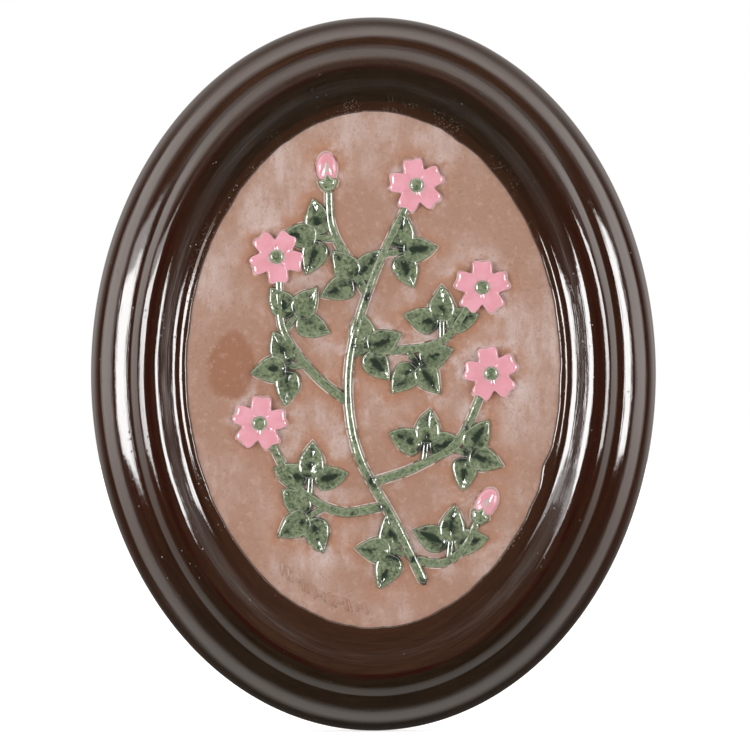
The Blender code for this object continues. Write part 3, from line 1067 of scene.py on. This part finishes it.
# %% Build the bar with its nail hole
def make_hanging_bar():
    outline = bar_outline(math.pi / 2)
    middle = oval_place(math.pi / 2, FOOT_WIDTH + HOLLOW_WIDTH / 2)
    turns = [math.tau * step / BAR_STEPS for step in range(BAR_STEPS)]
    ways = [Vector((math.cos(turn), math.sin(turn))) for turn in turns]
    hole = [middle + way * NAIL_HOLE / 2 for way in ways]
    outer = [ray_to_outline(middle, outline, way) for way in ways]
    back, front = BAR_RECESS, BAR_RECESS + BAR_THICKNESS
    # Each level: its border, how far it is drawn in from the border, and its rise
    levels = (
        (hole, 0.0, back + BAR_ROUND),
        (hole, -BAR_ROUND * 0.3, back + BAR_ROUND * 0.3),
        (hole, -BAR_ROUND, back),
        (outer, BAR_ROUND, back),
        (outer, 0.0, back + BAR_ROUND),
        (outer, 0.0, front - BAR_ROUND),
        (outer, BAR_ROUND, front),
        (hole, -BAR_ROUND, front),
        (hole, 0.0, front - BAR_ROUND),
    )
    rings = []
    for border, inwards, rise in levels:
        rings.append([Vector((*(spot - way * inwards), rise)) for spot, way in zip(border, ways)])
    bm = new_relief()
    grow(bm, rings, looped=True)
    bmesh.ops.recalc_face_normals(bm, faces=bm.faces)
    return stand_up("hanging_bar", bm)


hanging_bar = make_hanging_bar()

# %% [markdown]
# The finishes come next. Each is a small network of nodes, and a few helpers keep the networks
# short: one adds a node, and fills its inputs with values or links them; the others do a sum, a
# ramp, a mix, a noise or a bump. Patterns are read from Object coordinates or from the values
# kept on the points, so they stay on the piece.

# %% Helpers for the finishes
def fill(tree, node, inputs):
    """Gives each input of a node its value, or links it to another node's output."""
    for name, value in inputs.items():
        socket = node.inputs[name]
        if isinstance(value, bpy.types.NodeSocket):
            tree.links.new(value, socket)
        else:
            socket.default_value = (*value, 1.0) if socket.type == "RGBA" else value


def add_node(tree, kind, inputs=None, **settings):
    made = tree.nodes.new("ShaderNode" + kind)
    for key, value in settings.items():
        setattr(made, key, value)
    fill(tree, made, inputs or {})
    return made


def add_value(tree, name, output="Fac"):
    """What the points of the piece keep under this name."""
    return add_node(tree, "Attribute", attribute_name=name).outputs[output]


def add_parts(tree, vector):
    return add_node(tree, "SeparateXYZ", {"Vector": vector}).outputs


# %% Helpers that mix and shape a pattern
def add_sum(tree, operation, first, second=0.5, third=0.5):
    inputs = {0: first, 1: second, 2: third}
    return add_node(tree, "Math", inputs, operation=operation).outputs[0]


def add_product(tree, first, *factors):
    for factor in factors:
        first = add_sum(tree, "MULTIPLY", first, factor)
    return first


def add_ramp(tree, value, low_in, high_in, low_out=0.0, high_out=1.0):
    """Carries a value smoothly from one range to another."""
    names = ("Value", "From Min", "From Max", "To Min", "To Max")
    inputs = dict(zip(names, (value, low_in, high_in, low_out, high_out)))
    return add_node(tree, "MapRange", inputs, interpolation_type="SMOOTHSTEP").outputs["Result"]


def add_mix(tree, share, first, second):
    """Mixes two colours."""
    inputs = {0: share, 6: first, 7: second}
    return add_node(tree, "Mix", inputs, data_type="RGBA").outputs[2]


def add_noise(tree, vector, scale, detail=3.0, roughness=0.55):
    inputs = {"Vector": vector, "Scale": scale, "Detail": detail, "Roughness": roughness}
    return add_node(tree, "TexNoise", inputs).outputs["Fac"]


def add_dots(tree, vector, scale, radius):
    """1 in the middle of each of many scattered dots, 0 outside them."""
    cells = add_node(tree, "TexVoronoi", {"Vector": vector, "Scale": scale}).outputs["Distance"]
    return add_ramp(tree, cells, radius[0], radius[1], 1.0, 0.0)


def add_scaled(tree, vector, scale):
    return add_node(tree, "Mapping", {"Vector": vector, "Scale": scale}).outputs["Vector"]


def add_bump(tree, height, depth, before=None):
    inputs = {"Height": height, "Distance": depth, "Strength": 1.0}
    if before is not None:
        inputs["Normal"] = before
    return add_node(tree, "Bump", inputs).outputs["Normal"]


def new_finish(name):
    """An empty finish with its nodes, its shader and the Object coordinates to read."""
    finish = bpy.data.materials.new(name)
    finish.use_nodes = True
    tree = finish.node_tree
    place = add_node(tree, "TexCoord").outputs["Object"]
    return finish, tree, tree.nodes["Principled BSDF"], place


# %% [markdown]
# Towards the top and the foot, the brown glaze is painted almost black on the faces of the
# mouldings that look down, as painted shade, and lighter on those that look up, as painted light.
# At the sides it is redder, and it is red where it runs thin over the crest and the edge of the
# field. It is as smooth as glass, only duller on the brow at the top, and it mirrors the lamps
# less on the brow below, but it isn't flat: fine ridges run along the mouldings, specks of grit
# sit in it, and its ripple breaks the mirror images. Insets are in millimetres here, and
# "upwards" is 1 at the top and -1 at the foot.

# %% Brown glaze
# Two tones of each glaze, between and on the fine ridges. The first pair is painted shade for faces
# that look down, the second painted light for faces that look up
LOOKING_DOWN_SHADED = ((0.0075, 0.0042, 0.0018), (0.0130, 0.0070, 0.0033))
LOOKING_UP_LIT = ((0.0190, 0.0080, 0.0040), (0.0295, 0.0130, 0.0070))
AT_SIDES = ((0.0140, 0.0038, 0.0013), (0.0215, 0.0062, 0.0026))
ON_CREST = (0.0130, 0.0014, 0.0002)
AT_FIELD = (0.0270, 0.0098, 0.0044)
GRIT = (0.085, 0.062, 0.050)
RED_CREST = 15.4


def brown_glaze():
    finish, tree, shader, place = new_finish("brown_glaze")
    moulding = add_value(tree, "moulding", "Vector")
    inset = add_parts(tree, moulding)["X"]
    upwards = add_parts(tree, moulding)["Z"]
    lines = add_noise(tree, add_scaled(tree, moulding, (2.2, 5.0, 5.0)), 1.0, 4.0)
    cloud = add_noise(tree, place, 55.0)
    # Which way each place leans: near the top and the foot, faces that look down get painted shade
    # and faces that look up painted light; at the sides the glaze takes its redder tones
    ridge = add_ramp(tree, lines, 0.35, 0.7)
    leaning = add_product(tree, upwards, add_ramp(tree, inset, 14.5, 16.5, 1.0, -1.0))
    darkened, lightened = add_mix(tree, ridge, *LOOKING_DOWN_SHADED), add_mix(tree, ridge, *LOOKING_UP_LIT)
    ends = add_mix(tree, add_ramp(tree, leaning, -1.0, 1.0), darkened, lightened)
    to_end = add_ramp(tree, add_sum(tree, "ABSOLUTE", upwards), 0.3, 0.9)
    body = add_mix(tree, to_end, add_mix(tree, ridge, *AT_SIDES), ends)
    # Red on the crest and along the field
    off_crest = add_sum(tree, "ABSOLUTE", add_sum(tree, "SUBTRACT", inset, RED_CREST))
    patches = add_ramp(tree, cloud, 0.35, 0.62, 0.35, 1.0)
    thin = add_product(tree, add_ramp(tree, off_crest, 0.1, 1.0, 1.0, 0.0), patches)
    crested = add_mix(tree, thin, body, ON_CREST)
    colour = add_mix(tree, add_ramp(tree, inset, 23.1, 23.9, 0.0, 0.65), crested, AT_FIELD)
    # Grit by the field, in clusters, towards the top
    clusters = add_ramp(tree, add_noise(tree, place, 95.0, 2.0), 0.48, 0.60)
    by_field = add_ramp(tree, inset, 21.0, 23.5, 0.0, 0.8)
    gritty = add_product(tree, clusters, by_field, add_ramp(tree, upwards, -0.2, 0.6))
    grains = add_product(tree, add_dots(tree, place, 1700.0, (0.10, 0.42)), gritty)
    # Duller on the brow at the top, and mirroring the lamps less on the brow lower down
    smooth = add_ramp(tree, cloud, 0.3, 0.7, 0.045, 0.10)
    past_roll = add_ramp(tree, inset, 8.5, 10.6)
    to_crest = add_ramp(tree, inset, 15.0, 16.5, 1.0, 0.0)
    dullness = add_ramp(tree, inset, 10.6, 13.2, 0.45, 0.20)
    high = add_ramp(tree, upwards, 0.40, 0.90)
    dull = add_product(tree, past_roll, to_crest, dullness, high)
    on_brow = add_ramp(tree, inset, 9.9, 10.7)
    up_brow = add_ramp(tree, inset, 13.5, 15.0, 1.0, 0.0)
    # The brow mirrors the lamps less, the more so lower down the frame
    dimmed_below = add_product(tree, on_brow, up_brow, add_ramp(tree, upwards, -0.6, 0.8, 0.22, 0.0))
    # Ripple, ridges, specks, and the beads in which the glaze ends
    ripple = add_bump(tree, add_noise(tree, place, 260.0, 2.0), 0.000016)
    ridges = add_bump(tree, lines, 0.000022, ripple)
    chosen = add_ramp(tree, add_noise(tree, place, 120.0, 1.0), 0.56, 0.64)
    specks = add_product(tree, add_dots(tree, place, 520.0, (0.0, 0.16)), chosen)
    rim = add_product(tree, add_ramp(tree, inset, 23.6, 24.8), add_ramp(tree, cloud, 0.42, 0.56))
    beads = add_product(tree, add_dots(tree, place, 1000.0, (0.0, 0.30)), rim)
    raised = add_sum(tree, "ADD", specks, beads)
    fill(tree, shader, {
        "Base Color": add_mix(tree, grains, colour, GRIT),
        "Roughness": add_sum(tree, "ADD", smooth, dull),
        "Specular IOR Level": add_sum(tree, "SUBTRACT", 0.5, dimmed_below),
        "IOR": 1.65,
        "Normal": add_bump(tree, raised, 0.00006, ridges),
    })
    return finish


# %% [markdown]
# The bare clay has a thin pale slip brushed over it, mostly upwards. Beside the relief it was
# pushed about: in some places it was wiped off to the red clay, in others it stands thick and
# nearly white. A round patch on the left was rubbed smooth and is darker.

# %% Bare clay
PATCH_CENTRE = Vector((-37.6, 0.0, 1.9)) * MM
PATCH_RADIUS = 6.8 * MM
PATCH_SQUEEZE = (1.0, 0.0, 0.76)
PATCH_TONE = (0.168, 0.074, 0.042)
BARE_TONE = (0.208, 0.119, 0.086)
# Two tones each, thin and thick: the slip as brushed, and as pushed about beside the relief
SLIP_TONES = ((0.228, 0.141, 0.108), (0.296, 0.224, 0.203))
PUSHED_TONES = ((0.232, 0.113, 0.069), (0.335, 0.262, 0.243))
FLECK_TONE = (0.36, 0.27, 0.23)
GRAIN_TONE = (0.13, 0.080, 0.060)


def bare_clay():
    finish, tree, shader, place = new_finish("terracotta")
    wiped, slipped = add_value(tree, "wiped"), add_value(tree, "slip")
    brushed = add_noise(tree, add_scaled(tree, place, (260.0, 60.0, 90.0)), 1.0, 5.0, 0.66)
    cloud = add_noise(tree, place, 34.0, 4.0)
    grain = add_noise(tree, place, 1500.0, 2.0)
    slip = add_mix(tree, add_ramp(tree, brushed, 0.36, 0.68), *SLIP_TONES)
    cover = add_product(tree, add_ramp(tree, cloud, 0.40, 0.60), slipped)
    tone = add_mix(tree, cover, BARE_TONE, slip)
    uneven = add_product(tree, wiped, add_ramp(tree, cloud, 0.36, 0.58, 0.35, 1.0))
    pushed = add_ramp(tree, add_noise(tree, place, 105.0, 4.0, 0.6), 0.46, 0.66)
    fired = add_mix(tree, uneven, tone, add_mix(tree, pushed, *PUSHED_TONES))
    # The rubbed patch, with a ragged border
    to_patch = {0: place, 1: PATCH_CENTRE}
    way = add_node(tree, "VectorMath", to_patch, operation="SUBTRACT").outputs[0]
    flat = add_node(tree, "VectorMath", {0: way, 1: PATCH_SQUEEZE}, operation="MULTIPLY").outputs[0]
    far = add_node(tree, "VectorMath", {0: flat}, operation="LENGTH").outputs["Value"]
    ragged = add_sum(tree, "MULTIPLY_ADD", add_noise(tree, place, 150.0, 4.0), 4.0 * MM, far)
    inside = add_ramp(tree, ragged, PATCH_RADIUS * 1.12, PATCH_RADIUS * 1.42, 0.9, 0.0)
    patched = add_mix(tree, add_product(tree, inside, slipped), fired, PATCH_TONE)
    # Flecks and grain
    flecks = add_ramp(tree, add_noise(tree, place, 520.0, 3.0, 0.7), 0.52, 0.70, 0.0, 0.22)
    flecked = add_mix(tree, flecks, patched, FLECK_TONE)
    grains = add_ramp(tree, grain, 0.54, 0.72, 0.0, 0.40)
    rough = add_bump(tree, grain, 0.00009)
    fill(tree, shader, {
        "Base Color": add_mix(tree, grains, flecked, GRAIN_TONE),
        "Roughness": 0.86,
        "Specular IOR Level": 0.3,
        "Normal": add_bump(tree, brushed, 0.00014, rough),
    })
    return finish


# %% [markdown]
# Round the foot of every form the slip stands as a thin pale line, where the brush left it thick.
# Here and there the line is painted dark brown instead, as painted shadow where the form meets
# the field. A painted line would do as well, but the margin is already kept on the points, so
# both glazes of the relief take it from there.

# %% Slip and painted shadow round the foot of a form
# Two tones: dark brown painted shadow at the foot of a form, and the pale slip
SLIP_AND_SHADOW_TONES = ((0.150, 0.080, 0.052), (0.450, 0.365, 0.340))


def add_slip_and_shadow_margin(tree, place, colour):
    """The colour, with the pale slip and the painted shadow beside the form laid over it."""
    # Where this share is low, the margin takes the dark painted shadow instead of the pale slip
    pale_slip_share = add_ramp(tree, add_noise(tree, place, 300.0, 3.0), 0.40, 0.54)
    share = add_ramp(tree, add_value(tree, "margin"), 0.10, 0.45)
    return add_mix(tree, share, colour, add_mix(tree, pale_slip_share, *SLIP_AND_SHADOW_TONES))


# %% [markdown]
# The green glaze is a thin wash over the relief. It stands nearly black in the midribs, the
# veins and the joints, and shows a greyish green on the high parts, mottled all over like moss.

# %% Green glaze
MOSS_TONES = ((0.042, 0.056, 0.032), (0.128, 0.158, 0.094))
PALE_MOSS = (0.265, 0.240, 0.182)
DEEP_GREEN = (0.013, 0.020, 0.013)


def green_glaze():
    finish, tree, shader, place = new_finish("green_glaze")
    moss = add_noise(tree, place, 1000.0, 4.0, 0.75)
    pool = add_noise(tree, place, 230.0, 3.0)
    base = add_mix(tree, add_ramp(tree, moss, 0.34, 0.56), *MOSS_TONES)
    pale = add_mix(tree, add_ramp(tree, moss, 0.56, 0.72, 0.0, 0.9), base, PALE_MOSS)
    darkened = add_ramp(tree, pool, 0.42, 0.58, 0.1, 1.6)
    deep = add_product(tree, add_value(tree, "hollow"), darkened)
    shaded = add_sum(tree, "MULTIPLY_ADD", add_value(tree, "shade"), 0.10, pool)
    spots = add_ramp(tree, shaded, 0.60, 0.70, 0.0, 0.85)
    dark = add_node(tree, "Clamp", {"Value": add_sum(tree, "MAXIMUM", deep, spots)}).outputs[0]
    lumps = add_bump(tree, add_noise(tree, place, 1100.0, 2.0), 0.00005)
    fill(tree, shader, {
        "Base Color": add_slip_and_shadow_margin(tree, place, add_mix(tree, dark, pale, DEEP_GREEN)),
        "Roughness": 0.06,
        "IOR": 1.85,
        "Specular IOR Level": 0.65,
        "Normal": add_bump(tree, add_noise(tree, place, 420.0, 2.0), 0.00006, lumps),
    })
    return finish


# %% [markdown]
# The pink glaze is thick and opaque like enamel. It is palest where it thins at the rim, a
# little deeper in the middle, and takes a touch of grey green where it meets the eye.

# %% Pink glaze
PINK_TONES = ((0.424, 0.188, 0.220), (0.455, 0.217, 0.262))
PALE_PINK = (0.44, 0.28, 0.30)
BY_EYE = (0.28, 0.27, 0.24)


def pink_glaze():
    finish, tree, shader, place = new_finish("pink_glaze")
    rim = add_value(tree, "rim")
    cloud = add_noise(tree, place, 240.0, 3.0)
    base = add_mix(tree, add_ramp(tree, cloud, 0.35, 0.65), *PINK_TONES)
    pale = add_mix(tree, add_ramp(tree, rim, 0.90, 1.0, 0.0, 0.6), base, PALE_PINK)
    ragged = add_sum(tree, "MULTIPLY_ADD", cloud, 0.2, rim)
    enamel = add_mix(tree, add_ramp(tree, ragged, 0.34, 0.46, 0.75, 0.0), pale, BY_EYE)
    fill(tree, shader, {
        "Base Color": add_slip_and_shadow_margin(tree, place, enamel),
        "Roughness": 0.07,
        "IOR": 1.75,
        "Normal": add_bump(tree, add_noise(tree, place, 420.0, 2.0), 0.00003),
    })
    return finish


# %% [markdown]
# All the pieces are one fired body, so every one of them rides on the only body there is and
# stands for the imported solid, which isn't shown itself.

# %% Give each piece its finish and its body
DRESSING = (
    ("brown_glaze", brown_glaze, [glazed_frame]),
    ("terracotta", bare_clay, [clay_body, clay_strokes, hanging_bar]),
    ("green_glaze", green_glaze, [rose_stems, rose_leaves, blossom_eyes, bud_cups]),
    ("pink_glaze", pink_glaze, [rose_blossoms, rose_buds]),
)
for slot_name, make_finish, pieces in DRESSING:
    finish = make_finish()
    for piece in pieces:
        piece.data.materials.append(finish)
        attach(piece, "root")
        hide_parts("plaque")
    print(f"{slot_name}: {len(pieces)} pieces, {len(finish.node_tree.nodes)} nodes")

# %% [markdown]
# The plaque stands on a plain pale floor, as in a white tent. The floor glows a little, so that
# it meets the white background without a line, and it isn't mirrored in the glaze.

# %% The floor
FLOOR_SIZE = 12.0
FLOOR_GLOW = 0.6


def make_floor():
    bm = bmesh.new()
    bmesh.ops.create_grid(bm, x_segments=1, y_segments=1, size=FLOOR_SIZE / 2)
    bmesh.ops.translate(bm, vec=(0.0, 0.0, low.z), verts=bm.verts)
    mesh = bpy.data.meshes.new("floor")
    bm.to_mesh(mesh)
    bm.free()
    floor = bpy.data.objects.new("floor", mesh)
    bpy.context.scene.collection.objects.link(floor)
    finish, tree, shader, place = new_finish("pale_floor")
    fill(tree, shader, {
        "Base Color": (0.80, 0.80, 0.79),
        "Roughness": 0.9,
        "Emission Color": (1.0, 1.0, 1.0),
        "Emission Strength": FLOOR_GLOW,
    })
    mesh.materials.append(finish)
    floor.visible_glossy = False
    print(f"the floor lies {low.z / MM:.1f} mm from the plaque's middle")


make_floor()

# %% [markdown]
# The photograph looks square at the front from a good distance. The lens is worked out from that
# distance and from how much of the wall the picture takes in, so the plaque has the same size.

# %% The camera
CAMERA_DISTANCE = 2.0
PICTURE_WIDTH = 199.8 * MM
CAMERA_OFFSET = Vector((0.42, 0.0, -0.27)) * MM


def make_camera():
    lens = bpy.data.cameras.new("camera")
    lens.sensor_width = 36.0
    lens.lens = lens.sensor_width * CAMERA_DISTANCE / PICTURE_WIDTH
    camera = bpy.data.objects.new("camera", lens)
    camera.location = CAMERA_OFFSET + Vector((0.0, -CAMERA_DISTANCE - SIDE_RISE, 0.0))
    camera.rotation_euler = (math.radians(90), 0.0, 0.0)
    bpy.context.scene.collection.objects.link(camera)
    bpy.context.scene.camera = camera
    print(f"lens {lens.lens:.0f} mm")


make_camera()

# %% [markdown]
# The light is that of a small white tent. A large soft box stands on either side, and the glaze
# mirrors the two as bright lines. A third one over the left box is small and dim, and lets its
# lines fade out upwards. Area lights are used, because they light and are mirrored alike.

# %% Soft boxes
# Each box's angle round the plaque in degrees, its distance, width, height and lift in metres,
# and its power in watts
BOXES = {
    "left": (-41.0, 0.96, 0.40, 0.33, 0.01, 6.5),
    "left_high": (-41.0, 0.96, 0.40, 0.10, 0.225, 0.5),
    "right": (42.8, 1.375, 0.36, 0.58, 0.09, 10.2),
}


def make_soft_box(name, angle, distance, width, height, lift, power):
    light = bpy.data.lights.new(name, "AREA")
    light.shape = "RECTANGLE"
    light.size, light.size_y = width, height
    light.energy = power
    box = bpy.data.objects.new("soft_box_" + name, light)
    side = math.radians(angle)
    box.location = (math.sin(side) * distance, -math.cos(side) * distance, lift)
    box.rotation_euler = (math.radians(90), 0.0, side)
    box.visible_camera = False
    bpy.context.scene.collection.objects.link(box)
    print(f"{box.name}: {width * height * 1e4:.0f} square cm, {power} W")


for name, facts in BOXES.items():
    make_soft_box(name, *facts)

# %% [markdown]
# The rest of the tent is one brightness for each direction that light comes from, so no wall has
# to be modelled. The walls beside the plaque are lit grey, less so low down. The ceiling and the
# floor have softer borders. The opening round the camera is dark, and behind the plaque it is
# bright again. The camera itself sees plain white.

# %% The tent round the plaque
WALL_LIGHT = 3.15
CEILING_LIGHT = 2.4
FLOOR_LIGHT = 1.4
OPENING_LIGHT = 0.06
BEHIND_LIGHT = 1.3
TENT_TONE = (1.0, 0.955, 0.91)


def make_tent():
    world = bpy.data.worlds.new("tent")
    world.use_nodes = True
    bpy.context.scene.world = world
    tree = world.node_tree
    tree.nodes.clear()
    parts = add_parts(tree, add_node(tree, "TexCoord").outputs["Generated"])
    sideways, backwards, upwards = add_sum(tree, "ABSOLUTE", parts["X"]), parts["Y"], parts["Z"]

    def from_floor(at_floor, at_ceiling):
        return add_ramp(tree, upwards, -0.3, 0.3, at_floor, at_ceiling)

    walls = add_product(
        tree,
        add_ramp(tree, backwards, -0.52, -0.41),
        WALL_LIGHT,
        add_ramp(tree, backwards, -0.02, 0.18, 1.0, 0.0),
        add_ramp(tree, upwards, -0.45, 0.05, 0.48, 1.0),
    )
    ends = add_product(
        tree,
        add_ramp(tree, backwards, -0.68, from_floor(-0.30, -0.38)),
        from_floor(FLOOR_LIGHT, CEILING_LIGHT),
        add_ramp(tree, backwards, from_floor(-0.10, -0.38), from_floor(0.45, 0.60), 1.0, 0.0),
    )
    beside = add_ramp(tree, sideways, 0.60, 0.92)
    around = add_node(tree, "Mix", {0: beside, 2: ends, 3: walls}).outputs[0]
    behind = add_product(
        tree,
        add_ramp(tree, backwards, 0.25, 0.80, 0.0, BEHIND_LIGHT),
        add_ramp(tree, upwards, -0.40, 0.10, 0.04, 1.0),
        add_ramp(tree, sideways, 0.30, 0.90, 0.35, 1.0),
    )
    total = add_sum(tree, "ADD", add_sum(tree, "ADD", around, behind), OPENING_LIGHT)
    tent = add_node(tree, "Background", {"Strength": total, "Color": TENT_TONE}).outputs[0]
    white = add_node(tree, "Background", {"Color": (1.0, 1.0, 1.0)}).outputs[0]
    seen = add_node(tree, "LightPath").outputs["Is Camera Ray"]
    mixed = add_node(tree, "MixShader", {0: seen, 1: tent, 2: white}).outputs[0]
    add_node(tree, "OutputWorld", {"Surface": mixed})
    print(f"the tent is a sum of {len(tree.nodes)} nodes")


make_tent()
bpy.context.scene.view_settings.view_transform = "Standard"
